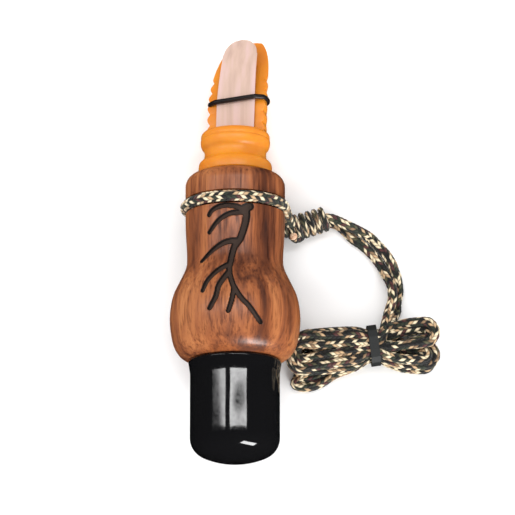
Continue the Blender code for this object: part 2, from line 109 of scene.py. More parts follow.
def smooth(points, steps):
    """A Catmull-Rom curve through the points."""
    last = len(points) - 1
    curve = []
    for i in range(last):
        a, b, c, d = (points[min(max(i + k, 0), last)] for k in (-1, 0, 1, 2))
        for j in range(steps):
            curve.append(tuple(catmull_rom(j / steps, *values) for values in zip(a, b, c, d)))
    curve.append(tuple(points[-1]))
    return curve


def even(points, spacing, closed=False):
    """Points the same distance apart along a line."""
    line = [Vector(p) for p in points]
    if closed:
        line.append(line[0])
    reach = [0.0]
    for a, b in zip(line, line[1:]):
        reach.append(reach[-1] + (b - a).length)
    count = max(2, round(reach[-1] / spacing))
    found = []
    k = 0
    for i in range(count if closed else count + 1):
        at = reach[-1] * i / count
        while k < len(reach) - 2 and reach[k + 1] < at:
            k += 1
        span = reach[k + 1] - reach[k]
        found.append(line[k].lerp(line[k + 1], (at - reach[k]) / span if span else 0))
    return found


def add(name, bm, body, slot, surface, *nodes):
    """Puts a bmesh, in millimetres in the world, into the scene as a piece of the object."""
    bmesh.ops.scale(bm, vec=(MM, MM, MM), verts=bm.verts)
    mesh = bpy.data.meshes.new(name)
    bm.to_mesh(mesh)
    bm.free()
    mesh.shade_smooth()
    mesh.set_sharp_from_angle(angle=radians(50))
    mesh.materials.append(surface)
    piece = bpy.data.objects.new(name, mesh)
    bpy.context.scene.collection.objects.link(piece)
    if nodes:
        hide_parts(*nodes)
    if body:
        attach(piece, body)
    return piece


def frames_along(points, closed=False):
    """A pair of cross directions at each point, without twist."""
    count = len(points)
    tangents = []
    for i in range(count):
        if closed:
            tangents.append((points[(i + 1) % count] - points[i - 1]).normalized())
        else:
            tangents.append((points[min(i + 1, count - 1)] - points[max(i - 1, 0)]).normalized())
    side = tangents[0].orthogonal().normalized()
    pairs = []
    for tangent in tangents:
        side = (side - tangent * side.dot(tangent)).normalized()
        pairs.append((side, tangent.cross(side)))
    return pairs


BRAID_COLUMNS = 8
BRAID_ROW = 1.35
BRAID_RELIEF = 0.2
BRAID_LEAN = 0.75
BRAID_LEVEL = 0.7  # the height on a float that lies on the cord's nominal surface


def braid_height(u, v):
    """How far a braid stands out, 0 to 1, at u columns round and v rows along it."""
    column = int(u // 1)
    across = u - column - 0.5
    lean = 1 if column % 2 else -1
    along = (v + lean * across * BRAID_LEAN + (0.5 if column % 2 else 0)) % 1 - 0.5
    return sqrt(max(0.0, 1 - (2 * across)**2)) * sqrt(max(0.0, 1 - (2 * along)**2))


def braided(bm, points, width, height=None, around=24, sides=None, start_row=0.0):
    """A braided cord along points: round, or flattened, with its width and height along the given sides."""
    layer = bm.loops.layers.uv.get("braid") or bm.loops.layers.uv.new("braid")
    pairs = sides or frames_along(points)
    height = height or width
    rings = []
    rows = []
    travelled = 0.0
    for i, (place, (side, up)) in enumerate(zip(points, pairs)):
        if i:
            travelled += (place - points[i - 1]).length
        rows.append(start_row + travelled / BRAID_ROW)
        ring = []
        for j in range(around):
            relief = BRAID_RELIEF * (braid_height(BRAID_COLUMNS * j / around, rows[-1]) - BRAID_LEVEL)
            angle = 2 * pi * j / around
            out = side * (cos(angle) * (width / 2 + relief)) + up * (sin(angle) * (height / 2 + relief))
            ring.append(bm.verts.new(place + out))
        rings.append(ring)
    for i in range(len(rings) - 1):
        for j in range(around):
            k = (j + 1) % around
            face = bm.faces.new((rings[i][j], rings[i][k], rings[i + 1][k], rings[i + 1][j]))
            corners = ((j, i), (j + 1, i), (j + 1, i + 1), (j, i + 1))
            for loop, (c, r) in zip(face.loops, corners):
                loop[layer].uv = (BRAID_COLUMNS * c / around, rows[r])
    bm.faces.new(rings[0][::-1])
    bm.faces.new(rings[-1])


# Node material helpers
def new_material(name):
    made = bpy.data.materials.new(name)
    made.use_nodes = True
    nodes = made.node_tree.nodes
    return made, nodes, made.node_tree.links, nodes["Principled BSDF"]


def ramp(nodes, stops, constant=False):
    made = nodes.new("ShaderNodeValToRGB")
    made.color_ramp.interpolation = "CONSTANT" if constant else "LINEAR"
    elements = made.color_ramp.elements
    while len(elements) > 1:
        elements.remove(elements[-1])
    for i, (place, colour) in enumerate(stops):
        element = elements[0] if i == 0 else elements.new(place)
        element.position = place
        element.color = (*colour, 1.0)
    return made


def maths(nodes, links, operation, a, b=None):
    made = nodes.new("ShaderNodeMath")
    made.operation = operation
    for i, value in enumerate((a, b)):
        if value is None:
            continue
        if isinstance(value, (int, float)):
            made.inputs[i].default_value = value
        else:
            links.new(value, made.inputs[i])
    return made.outputs[0]


def calculator(nodes, links):
    def calc(operation, a, b=None):
        return maths(nodes, links, operation, a, b)
    return calc


def noise(nodes, links, vector, scale, detail=4.0, roughness=0.5, distortion=0.0):
    made = nodes.new("ShaderNodeTexNoise")
    made.inputs["Scale"].default_value = scale
    made.inputs["Detail"].default_value = detail
    made.inputs["Roughness"].default_value = roughness
    made.inputs["Distortion"].default_value = distortion
    links.new(vector, made.inputs["Vector"])
    return made.outputs["Fac"]


def call_coordinates(nodes, links, stretch=(1, 1, 1)):
    """Object coordinates turned so that Y runs along the call, then stretched."""
    place = nodes.new("ShaderNodeTexCoord")
    turn = nodes.new("ShaderNodeMapping")
    turn.inputs["Rotation"].default_value = (TILT, 0, 0)
    links.new(place.outputs["Object"], turn.inputs["Vector"])
    scale = nodes.new("ShaderNodeMapping")
    scale.inputs["Scale"].default_value = stretch
    links.new(turn.outputs["Vector"], scale.inputs["Vector"])
    return scale.outputs["Vector"]


def bump(nodes, links, height, strength, distance, shader):
    made = nodes.new("ShaderNodeBump")
    made.inputs["Strength"].default_value = strength
    made.inputs["Distance"].default_value = distance
    links.new(height, made.inputs["Height"])
    links.new(made.outputs["Normal"], shader.inputs["Normal"])


def mix_colours(nodes, links, factor, a, b, kind="MIX"):
    made = nodes.new("ShaderNodeMix")
    made.data_type = "RGBA"
    made.blend_type = kind
    if isinstance(factor, (int, float)):
        made.inputs["Factor"].default_value = factor
    else:
        links.new(factor, made.inputs["Factor"])
    for value, socket in ((a, made.inputs[6]), (b, made.inputs[7])):
        if isinstance(value, tuple):
            socket.default_value = (*value, 1.0)
        else:
            links.new(value, socket)
    return made.outputs[2]


def make_braid_material():
    """Each float of the braid is one leaning oval, in a camouflage colour picked by its strand, with painted
    shade darkening it towards its edges.
    """
    made, nodes, links, shader = new_material("camo_braid")
    uv = nodes.new("ShaderNodeUVMap")
    uv.uv_map = "braid"
    parts = nodes.new("ShaderNodeSeparateXYZ")
    links.new(uv.outputs["UV"], parts.inputs["Vector"])
    u, v = parts.outputs["X"], parts.outputs["Y"]

    calc = calculator(nodes, links)
    column = calc("FLOOR", u)
    across = calc("SUBTRACT", calc("SUBTRACT", u, column), 0.5)
    odd = calc("MODULO", column, 2.0)
    lean = calc("SUBTRACT", calc("MULTIPLY", odd, 2.0), 1.0)
    sheared = calc("ADD", v, calc("MULTIPLY", calc("MULTIPLY", lean, across), BRAID_LEAN))
    shifted = calc("ADD", sheared, calc("MULTIPLY", odd, 0.5))
    row = calc("FLOOR", shifted)
    along = calc("SUBTRACT", calc("SUBTRACT", shifted, row), 0.5)
    square_across = calc("POWER", calc("ABSOLUTE", calc("MULTIPLY", across, 2.0)), 2.0)
    square_along = calc("POWER", calc("ABSOLUTE", calc("MULTIPLY", along, 2.0)), 2.0)
    dome = calc("SQRT", calc("MAXIMUM", calc("MULTIPLY", calc("SUBTRACT", 1.0, square_across),
                                              calc("SUBTRACT", 1.0, square_along)), 0.0))
    half_column = calc("FLOOR", calc("MULTIPLY", column, 0.5))
    strand = calc("MODULO", calc("ADD", calc("ADD", row, calc("MULTIPLY", lean, half_column)), 2000.0), 11.0)
    run = calc("FLOOR", calc("MULTIPLY", calc("ADD", row, column), 0.34))
    seed = calc("ADD", calc("ADD", calc("MULTIPLY", strand, 3.7), calc("MULTIPLY", odd, 57.0)),
                calc("MULTIPLY", run, 0.91))
    pick = nodes.new("ShaderNodeTexWhiteNoise")
    pick.noise_dimensions = "1D"
    links.new(seed, pick.inputs["W"])
    camo = ramp(nodes, [
        (0.0, (0.010, 0.010, 0.009)),
        (0.27, (0.022, 0.032, 0.016)),
        (0.45, (0.085, 0.080, 0.035)),
        (0.54, (0.090, 0.022, 0.020)),
        (0.62, (0.56, 0.37, 0.20)),
        (0.73, (0.26, 0.155, 0.075)),
        (0.79, (0.85, 0.70, 0.46)),
    ], constant=True)
    links.new(pick.outputs["Value"], camo.inputs["Fac"])
    fibres = nodes.new("ShaderNodeTexWave")
    fibres.inputs["Scale"].default_value = 2.2
    fibres.inputs["Distortion"].default_value = 1.5
    fibres.bands_direction = "DIAGONAL"
    links.new(uv.outputs["UV"], fibres.inputs["Vector"])
    # Painted shade: each float is darkened towards its edges by its dome, so the gaps between floats look
    # shaded
    painted_shade = calc("MULTIPLY_ADD", dome, 0.85)
    painted_shade.node.inputs[2].default_value = 0.15
    dark = nodes.new("ShaderNodeCombineColor")
    for i in range(3):
        links.new(painted_shade, dark.inputs[i])
    colour = mix_colours(nodes, links, 1.0, camo.outputs["Color"], dark.outputs["Color"], "MULTIPLY")
    links.new(colour, shader.inputs["Base Color"])
    shader.inputs["Roughness"].default_value = 0.62
    shader.inputs["Sheen Weight"].default_value = 0.15
    relief = calc("ADD", dome, calc("MULTIPLY", fibres.outputs["Fac"], 0.12))
    bump(nodes, links, relief, 0.7, 0.0003, shader)
    return made


braid = make_braid_material()
rng = random.Random(7)


# Lanyard. Places are as in the CAD: from the bulb's middle, +X right, +Y to the mouthpiece, then height.
def beside(x, y, z):
    return Vector((x, y + BULB_Y, z))


KNOT_FROM = Vector((15.9, 29.8, 4.3))
KNOT_TO = Vector((28.2, 33.8, 4.3))
OUTER_LEAD = [
    (29.2, 33.3, 5.2), (31.2, 32.6, 4.9), (34.3, 31.2, 4.6), (38.1, 29.6, 2.9), (41.0, 28.1, 1.6),
    (42.7, 26.3, 1.6), (44.5, 24.5, 1.6), (45.9, 22.8, 1.6), (47.0, 21.1, 1.6), (47.9, 19.4, 1.6),
    (48.4, 17.6, 1.6), (49.1, 15.8, 1.6), (49.6, 12.4, 1.6), (49.6, 10.7, 1.6), (49.3, 9.2, 1.7),
    (48.9, 7.0, 2.0), (48.6, 4.4, 2.4),
]
INNER_LEAD = [
    (29.6, 32.4, 1.8), (31.4, 31.7, 1.6), (33.5, 29.9, 1.6), (35.7, 27.6, 1.6), (38.0, 26.1, 1.6),
    (39.9, 24.5, 1.6), (41.8, 22.6, 1.6), (43.4, 20.6, 1.6), (44.7, 18.6, 1.8), (45.6, 16.5, 2.7),
    (46.7, 14.6, 3.6), (47.5, 12.4, 4.4), (47.7, 10.4, 4.9), (47.6, 8.3, 5.2), (47.0, 6.2, 5.4),
    (46.3, 3.9, 5.6),
]
TIE_X, TIE_Y = 41.8, -5.8

# Each strand through the tie, in the order that the cord takes them: its level, and how far across it lies
LEVELS = (1.6, 4.2, 6.8, 9.3)
TIE_LEVELS = (2.8, 4.9, 7.0, 9.1)
STRANDS = [
    (3, 4.1), (3, -1.4), (2, 5.5), (2, -2.8), (2, 2.8), (2, -5.5), (1, 1.4), (1, -4.1), (0, 2.8), (0, -5.5),
    (0, 0.0), (0, 5.5), (0, -2.8), (1, 4.1), (1, -1.4), (2, 0.0), (3, -4.1), (3, 1.4),
]
STRAYS = {  # these strands hang out of the hank's side
    9: [(36.0, -5.2), (30.0, -6.9), (26.0, -9.0), (21.6, -9.9), (18.0, -8.4)],
    12: [(36.0, -4.4), (30.0, -5.2), (26.0, -6.6), (21.8, -7.2), (19.0, -6.2)],
}
RIGHT_FOLDS = {  # a fold on the right: where it ends, how far it is shifted across, and half its width
    1: (60.6, 0.2, 3.3), 3: (58.6, 0.0, 1.6), 5: (60.6, 0.2, 3.3), 7: (58.6, 0.0, 1.6),
    9: (59.8, -0.3, 3.3), 11: (59.8, -0.3, 3.3), 13: (58.3, 0.0, 1.6), 15: (58.3, 0.0, 1.6),
}
LOBES = (-3.5, 3.1)  # how far across the middles of the two lobes on the right lie
LEFT_END = 17.4
CORD_STEP, CHOKER_STEP, PATH_STEP = 0.44, 0.42, 1.5
TIE_SQUEEZE = 0.62


def hank_place(x, across, z):
    slope = 0.107 if x < TIE_X else 0.03
    return (x, TIE_Y + slope * (x - TIE_X) + across, max(CORD / 2 + 0.1, z))


def fold_legs(index, right):
    """How far across a fold's middle and its two legs lie. On the right the folds gather into two lobes."""
    (_, a), (_, b) = STRANDS[index], STRANDS[index + 1]
    middle = (a + b) / 2
    half = max(3.6, abs(a - b) / 2)
    if right:
        _, shift, half = RIGHT_FOLDS[index]
        middle = LOBES[middle > -0.1] + shift
    turn = 1 if a > b else -1
    return middle, middle + half * turn, middle - half * turn


def left_run(index, leg):
    level, across = STRANDS[index]
    wobble = [rng.uniform(-0.3, 0.3) for _ in range(3)]
    if index in STRAYS:
        return [hank_place(x, y, LEVELS[0]) for x, y in STRAYS[index]]
    return [
        hank_place(36.2, across * 0.92 + wobble[0], LEVELS[level] + wobble[1] * 0.4),
        hank_place(29.5, across * 1.02 + wobble[1], LEVELS[level] + wobble[2] * 0.4),
        hank_place(23.8, (across + leg) / 2 + wobble[2], LEVELS[level] + 0.2),
    ]


def right_run(index, leg):
    level, across = STRANDS[index]
    wobble = rng.uniform(-0.25, 0.25)
    return [
        hank_place(46.6, across * 0.8 + leg * 0.1 + wobble, (TIE_LEVELS[level] + LEVELS[level]) / 2),
        hank_place(51.0, across * 0.4 + leg * 0.62 + wobble, LEVELS[level]),
    ]


def fold(index, right):
    """The points round the fold between a strand and the next."""
    middle, a, b = fold_legs(index, right)
    za, zb = LEVELS[STRANDS[index][0]], LEVELS[STRANDS[index + 1][0]]
    radius = abs(a - b) / 2
    if right:
        end, inward = RIGHT_FOLDS[index][0] + rng.uniform(-0.2, 0.2), -1
    else:
        end, inward = LEFT_END + 0.32 * middle + rng.uniform(-0.2, 0.6), 1
    lift = 0.5 if index % 4 < 2 else -0.4
    before, after = middle + (a - middle) * 0.8, middle + (b - middle) * 0.8
    turn = ((a, 0.15, 1.0), (before, 0.3, 0.42), (middle, 0.5, 0.0), (after, 0.7, 0.42), (b, 0.85, 1.0))
    return [hank_place(end + inward * radius * back, across, za + (zb - za) * share + lift)
            for across, share, back in turn]


def hank_route():
    """From the outer lead's end through every strand and fold to the inner lead's end."""
    route = []
    last = len(STRANDS) - 1
    for index, (level, across) in enumerate(STRANDS):
        tie = [hank_place(TIE_X + 1.8, across * TIE_SQUEEZE, TIE_LEVELS[level]),
               hank_place(TIE_X - 1.8, across * TIE_SQUEEZE, TIE_LEVELS[level])]
        if index % 2 == 0:
            if index:
                route += right_run(index, fold_legs(index - 1, True)[2])[::-1]
            route += tie + left_run(index, fold_legs(index, False)[1]) + fold(index, False)
        else:
            route += left_run(index, fold_legs(index - 1, False)[2])[::-1] + tie[::-1]
            if index < last:
                route += right_run(index, fold_legs(index, True)[1]) + fold(index, True)
    return route


def make_neck_loop():
    into_knot = [(26.6, 33.6, 4.6)]
    out_of_knot = [(27.4, 32.6, 2.6)]
    route = into_knot + OUTER_LEAD + hank_route() + INNER_LEAD[::-1] + out_of_knot
    places = even([beside(*p) for p in smooth(route, 6)], CORD_STEP)
    bm = bmesh.new()
    braided(bm, places, CORD)
    loop = add("neck_loop", bm, "barrel", "camo_cord", braid,
               "lanyard_lead_outer", "lanyard_lead_inner", "lanyard_hank")


def make_choker():
    """Round the groove from the knot, over the barrel and back under it into the knot."""
    first, last, steps = 14, 283, 24
    ring = []
    for i in range(steps + 1):
        angle = radians(first + (last - first) * i / steps)
        across, up = GROOVE_CENTRE * cos(angle), GROOVE_CENTRE * sin(angle)
        ring.append(CALL @ Vector((across, GROOVE_STATION - MIDDLE, up)))
    start = [beside(18.0, 31.0, 5.2), beside(16.6, 31.6, 8.2), beside(15.6, 33.2, 12.4)]
    end = [beside(9.0, 34.2, 1.9), beside(13.0, 32.9, 2.1), beside(17.0, 30.6, 3.4)]
    places = even([Vector(p) for p in smooth([tuple(p) for p in start + ring + end], 5)], CHOKER_STEP)
    bm = bmesh.new()
    braided(bm, places, CORD + 0.3, start_row=300.0)
    choker = add("choker", bm, "barrel", "camo_cord", braid, "lanyard_choker")


def make_knot():
    """Tight wraps round the two leads, the last one standing up a little, and the cord's cut end."""
    bm = bmesh.new()
    start, end = beside(*KNOT_FROM), beside(*KNOT_TO)
    along = (end - start).normalized()
    side = along.cross(Vector((0, 0, 1))).normalized()
    up = side.cross(along)
    wraps = 6.4
    length = (end - start).length + 0.3
    count = round(wraps * 26)
    points, sides = [], []
    for i in range(count + 1):
        angle = 2 * pi * wraps * i / count + 0.6
        out = side * cos(angle) + up * sin(angle)
        standing = 1.2 * max(0.0, wraps * (i / count - 1) + 1) * max(0.0, -cos(angle))
        tucked = 1.3 * max(0.0, 1 - min(i, count - i) / 9)
        radius = 3.0 - 0.35 * i / count + 0.1 * sin(i * 0.21) + standing - tucked
        slant = 0.55 * cos(angle)
        points.append(start + along * (slant - 1.3 + length * i / count) + out * radius)
        sides.append((along, out))
    braided(bm, points, 1.9, 2.6, around=20, sides=sides, start_row=500.0)
    core = even([start + along * 0.5, end - along * 0.5], 0.6)
    braided(bm, core, 3.6, start_row=600.0)
    tail = [start + along * 4.2 + side * 1.6 - up * 1.0, start + along * 3.0 + side * 3.0 - up * 0.2,
            start + along * 1.6 + side * 3.3 + up * 1.2, start + along * 0.9 + side * 2.8 + up * 3.5]
    tail = even([Vector(p) for p in smooth([tuple(p) for p in tail], 6)], CHOKER_STEP)
    braided(bm, tail, 2.9, start_row=800.0)
    knot = add("slip_knot", bm, "barrel", "camo_cord", braid, "lanyard_knot")
    make_cut_end(tail[-1], (tail[-1] - tail[-2]).normalized())
    return knot


def make_cut_end(place, direction):
    """The pale core that shows at the cord's cut end, a little domed."""
    made, nodes, links, shader = new_material("cord_core")
    where = nodes.new("ShaderNodeTexCoord")
    flecks = noise(nodes, links, where.outputs["Object"], 2400, 2, 0.5)
    colours = ramp(nodes, [(0.35, (0.42, 0.16, 0.08)), (0.5, (0.80, 0.50, 0.32)), (0.65, (0.90, 0.74, 0.55))])
    links.new(flecks, colours.inputs["Fac"])
    links.new(colours.outputs["Color"], shader.inputs["Base Color"])
    shader.inputs["Roughness"].default_value = 0.7
    bm = bmesh.new()
    bmesh.ops.create_uvsphere(bm, u_segments=20, v_segments=12, radius=1.2)
    bmesh.ops.scale(bm, vec=(1, 1, 0.4), verts=bm.verts)
    bmesh.ops.rotate(bm, verts=bm.verts, matrix=direction.to_track_quat("Z", "Y").to_matrix())
    bmesh.ops.translate(bm, verts=bm.verts, vec=place)
    add("cut_end", bm, "barrel", "camo_cord", made)


knot = make_knot()
make_choker()
make_neck_loop()


# Turned pieces
def turned(profile, segments):
    """A closed (station, radius) profile spun round the call's axis, as a bmesh in the world."""
    bm = bmesh.new()
    rings = []
    for station, radius in profile:
        rings.append([
            bm.verts.new(CALL @ Vector((radius * cos(a), station - MIDDLE, radius * sin(a))))
            for a in (2 * pi * j / segments for j in range(segments))
        ])
    for i in range(len(rings)):
        a, b = rings[i], rings[(i + 1) % len(rings)]
        for j in range(segments):
            k = (j + 1) % segments
            bm.faces.new((a[j], a[k], b[k], b[j]))
    return bm


def arc(station, radius, size, start, end, steps):
    """A stretch of a profile: an arc about (station, radius), between two angles in degrees."""
    angles = [radians(start + (end - start) * i / steps) for i in range(steps + 1)]
    return [(station + size * cos(a), radius + size * sin(a)) for a in angles]


# Barrel
BARREL_START, BARREL_END = 31.0, 88.2
SPIGOT_START, SPIGOT_RADIUS, BORE_RADIUS = 9.5, 11.95, 8.5
SOCKET_START, SOCKET_RADIUS = 68.7, 10.1
BULB_RADIUS, WAIST_RADIUS, NECK_RADIUS, SHOULDER = 19.5, 14.4, 15.0, 3.7
ENGRAVING_START, ENGRAVING_END, ENGRAVING_HALF, ENGRAVING_DEPTH = 37, 76.3, 12, 0.9
ANTLER = [  # each stroke's half width, the share of it that is left at the end, and its (x, station) points
    (1.2, 0.7, [
        (3.4, 74.3), (3.3, 70.5), (1.7, 65.2), (-0.1, 62.5), (-1.3, 57.6), (-1.6, 53.9), (-0.4, 49.4),
    ]),
    (0.85, 0.9, [(-0.4, 49.6), (1.6, 46.2), (4.6, 42.9), (7.5, 38.9)]),
    (1.5, 0.9, [(3.2, 74.2), (4.4, 74.9)]),
    (0.95, 0.7, [(3.2, 73.8), (-1.2, 75.0), (-4.6, 74.9), (-6.8, 73.9), (-7.7, 72.6)]),
    (0.95, 0.65, [(3.2, 73.0), (-1.4, 72.6), (-5.0, 70.6), (-7.6, 67.3)]),
    (1.05, 0.5, [(0.8, 64.3), (-3.0, 63.9), (-6.6, 61.8), (-9.9, 58.7)]),
    (0.95, 0.65, [(-1.4, 57.0), (-5.0, 54.9), (-8.0, 51.8), (-9.5, 48.5)]),
    (0.95, 0.75, [(-1.8, 54.2), (-4.6, 50.0), (-5.6, 46.4), (-7.4, 42.9)]),
    (0.85, 0.8, [(-0.2, 48.6), (-0.9, 44.9), (-1.9, 41.8)]),
]


def barrel_outline(steps):
    shoulder = BARREL_END - SHOULDER
    rise = BULB_STATION - BARREL_START
    stations = [
        (BARREL_START, 14.0),
        (BARREL_START + 0.16 * rise, BULB_RADIUS - 2.7),
        (BARREL_START + 0.45 * rise, BULB_RADIUS - 0.9),
        (BULB_STATION, BULB_RADIUS),
        (BULB_STATION + 6.6, BULB_RADIUS - 0.8),
        (BULB_STATION + 11.8, (BULB_RADIUS + WAIST_RADIUS) / 2 - 0.5),
        (BULB_STATION + 15.5, WAIST_RADIUS + 0.4),
        (BULB_STATION + 19.1, WAIST_RADIUS),
        (BULB_STATION + 28.6, NECK_RADIUS - 0.1),
        (shoulder, NECK_RADIUS),
    ]
    return smooth(stations, steps), arc(shoulder, NECK_RADIUS - SHOULDER, SHOULDER, 90, 0, 12)


def engraving_depth(x, station, strokes):
    """How deep the antler is cut at a place on the barrel's top, 0 to 1."""
    deepest = 0.0
    for width, taper, points in strokes:
        count = len(points) - 1
        for i in range(count):
            (x0, s0), (x1, s1) = points[i], points[i + 1]
            dx, ds = x1 - x0, s1 - s0
            t = max(0.0, min(1.0, ((x - x0) * dx + (station - s0) * ds) / (dx * dx + ds * ds)))
            away = sqrt((x - x0 - t * dx)**2 + (station - s0 - t * ds)**2)
            half = width * (1.0 - (1.0 - taper) * (i + t) / count)
            if away < half:
                deepest = max(deepest, min(1.0, 1.9 * (1 - (away / half)**2)))
    return deepest


def make_barrel(walnut):
    body, shoulder = barrel_outline(14)
    outer = []
    line = even([(s, r, 0) for s, r in body + shoulder[1:]], 0.24)
    for p in line:
        station, radius = p.x, p.y
        away = abs(station - GROOVE_STATION)
        if away < GROOVE_SIZE:
            radius = min(radius, GROOVE_CENTRE - sqrt(GROOVE_SIZE**2 - away**2))
        outer.append((station, radius))
    engraved_side, rest = 150, 90
    angles = [radians(35 + 110 * j / engraved_side) for j in range(engraved_side)]
    angles += [radians(145 + 250 * j / rest) for j in range(rest)]
    strokes = [(width, taper, smooth(route, 5)) for width, taper, route in ANTLER]
    bm = bmesh.new()
    depth_layer = bm.verts.layers.float.new("engraved")
    inner = [(BARREL_END, SOCKET_RADIUS), (SOCKET_START, SOCKET_RADIUS), (SOCKET_START, BORE_RADIUS),
             (SPIGOT_START, BORE_RADIUS), (SPIGOT_START, SPIGOT_RADIUS - 0.6),
             (SPIGOT_START + 0.6, SPIGOT_RADIUS), (BARREL_START, SPIGOT_RADIUS)]
    rings = []
    for index, (station, radius) in enumerate(outer + inner):
        ring = []
        for angle in angles:
            size, depth = radius, 0.0
            x = radius * cos(angle)
            on_top = index < len(outer) and sin(angle) > 0.3 and abs(x) < ENGRAVING_HALF
            if on_top and ENGRAVING_START < station < ENGRAVING_END:
                depth = engraving_depth(x, station, strokes)
                size = radius - ENGRAVING_DEPTH * depth
            vert = bm.verts.new(CALL @ Vector((size * cos(angle), station - MIDDLE, size * sin(angle))))
            vert[depth_layer] = depth
            ring.append(vert)
        rings.append(ring)
    for i in range(len(rings)):
        a, b = rings[i], rings[(i + 1) % len(rings)]
        for j in range(len(angles)):
            k = (j + 1) % len(angles)
            bm.faces.new((a[j], b[j], b[k], a[k]))
    bmesh.ops.recalc_face_normals(bm, faces=bm.faces)
    add("walnut_barrel", bm, "barrel", "walnut", walnut, "barrel")


def make_walnut():
    made, nodes, links, shader = new_material("walnut")
    long_grain = call_coordinates(nodes, links, (1, 0.09, 1))
    warp = noise(nodes, links, long_grain, 55, 3, 0.5)
    rings = noise(nodes, links, long_grain, 210, 6, 0.62, 1.4)
    fine = noise(nodes, links, call_coordinates(nodes, links, (1, 0.035, 1)), 1500, 5, 0.7)
    broad = noise(nodes, links, call_coordinates(nodes, links, (1, 0.22, 1)), 42, 3, 0.5, 0.8)
    calc = calculator(nodes, links)
    tone = calc("ADD", calc("MULTIPLY", rings, 0.55), calc("MULTIPLY", broad, 0.45))
    tone = calc("ADD", tone, calc("MULTIPLY", calc("SUBTRACT", warp, 0.5), 0.35))

    # A dark streak runs down the right side and sways with the broad figure
    place = nodes.new("ShaderNodeSeparateXYZ")
    links.new(call_coordinates(nodes, links), place.inputs["Vector"])
    sway = calc("MULTIPLY", calc("SUBTRACT", broad, 0.5), 0.010)
    off = calc("SUBTRACT", calc("ADD", place.outputs["X"], sway), 0.0088)
    near = calc("POWER", calc("MULTIPLY", calc("ABSOLUTE", off), 520), 2)
    tone = calc("SUBTRACT", tone, calc("DIVIDE", 0.15, calc("ADD", near, 1.0)))
    colours = ramp(nodes, [
        (0.22, (0.045, 0.013, 0.007)),
        (0.38, (0.125, 0.034, 0.012)),
        (0.48, (0.27, 0.080, 0.025)),
        (0.58, (0.39, 0.135, 0.043)),
        (0.68, (0.49, 0.205, 0.078)),
        (0.80, (0.58, 0.30, 0.15)),
    ])
    links.new(tone, colours.inputs["Fac"])
    pores = ramp(nodes, [(0.36, (0.45, 0.38, 0.36)), (0.50, (1, 1, 1))])
    links.new(fine, pores.inputs["Fac"])
    wood = mix_colours(nodes, links, 1.0, colours.outputs["Color"], pores.outputs["Color"], "MULTIPLY")
    # The cut is coloured dark, partly its own dark colour and partly painted shade: near black on its sloping
    # walls, dark brown on its flat floor
    engraved = nodes.new("ShaderNodeAttribute")
    engraved.attribute_name = "engraved"
    cut_mask = ramp(nodes, [(0.0, (0, 0, 0)), (0.22, (1, 1, 1))])
    links.new(engraved.outputs["Fac"], cut_mask.inputs["Fac"])
    cut_colour_and_shade = ramp(nodes, [
        (0.3, (0.008, 0.004, 0.003)),
        (0.95, (0.014, 0.007, 0.004)),
        (1.0, (0.040, 0.020, 0.012)),
    ])
    links.new(engraved.outputs["Fac"], cut_colour_and_shade.inputs["Fac"])
    colour = mix_colours(nodes, links, cut_mask.outputs["Color"], wood, cut_colour_and_shade.outputs["Color"])
    links.new(colour, shader.inputs["Base Color"])
    rough = ramp(nodes, [(0.3, (0.42, 0.42, 0.42)), (0.7, (0.27, 0.27, 0.27))])
    links.new(rings, rough.inputs["Fac"])
    rougher = mix_colours(nodes, links, cut_mask.outputs["Color"], rough.outputs["Color"], (0.75, 0.75, 0.75))
    links.new(rougher, shader.inputs["Roughness"])
    bump(nodes, links, fine, 0.25, 0.00012, shader)
    return made


make_barrel(make_walnut())


# End cap
CAP_LENGTH, CAP_WALL, CAP_RIM, CAP_FLARE = 30.7, 1.1, 13.85, 0.5
CAP_DOME, CAP_CORNER, CAP_HOLE = 24.0, 6.0, 2.0


def cap_shell(inset):
    """The cap's end from the sound hole over the dome and round the corner, inset by a wall's thickness."""
    straight = CAP_RIM - CAP_FLARE
    dome = CAP_DOME - inset
    reach = CAP_DOME - CAP_CORNER
    centre_radius = straight - CAP_CORNER
    lean = asin(centre_radius / reach)
    start = asin(CAP_HOLE / dome)
    angles = [start + (lean - start) * i / 10 for i in range(10)]
    end = [(CAP_DOME - dome * cos(a), dome * sin(a)) for a in angles]
    centre_station = CAP_DOME - reach * cos(lean)
    return end + arc(centre_station, centre_radius, CAP_CORNER - inset, 180 - degrees(lean), 90, 16)


